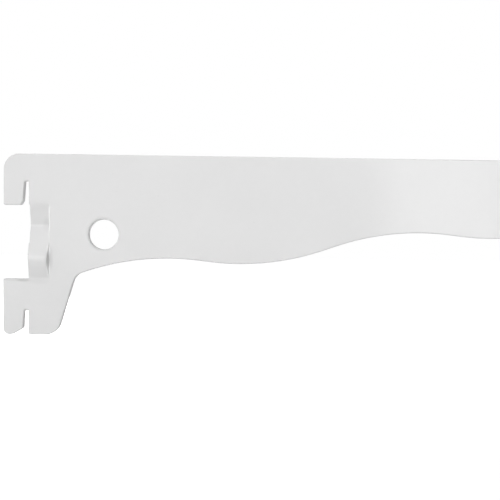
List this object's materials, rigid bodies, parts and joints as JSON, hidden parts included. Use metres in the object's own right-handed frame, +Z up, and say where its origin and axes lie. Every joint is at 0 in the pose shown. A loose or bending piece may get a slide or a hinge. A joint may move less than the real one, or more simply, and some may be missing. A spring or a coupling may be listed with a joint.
{
  "type": "shelf bracket",
  "caption": "Pressed sheet steel bracket with a wavy lower edge that hooks into a slotted wall rail and carries a shelf on its straight top edge.",
  "frame": {"origin": "on the shelf edge, in the plane of the face that meets the rail, at the middle of the sheet's thickness", "axes": "+X from the rail to the nose, +Y across the sheet away from the picture's viewer, +Z up"},
  "size_m": [0.2398, 0.0061, 0.07],
  "materials": {
    "white_powder_coat": "satin white powder coat with a fine orange peel, on steel"
  },
  "bodies": {
    "root": {"bracket_plate": "white_powder_coat"}
  },
  "joints": []
}
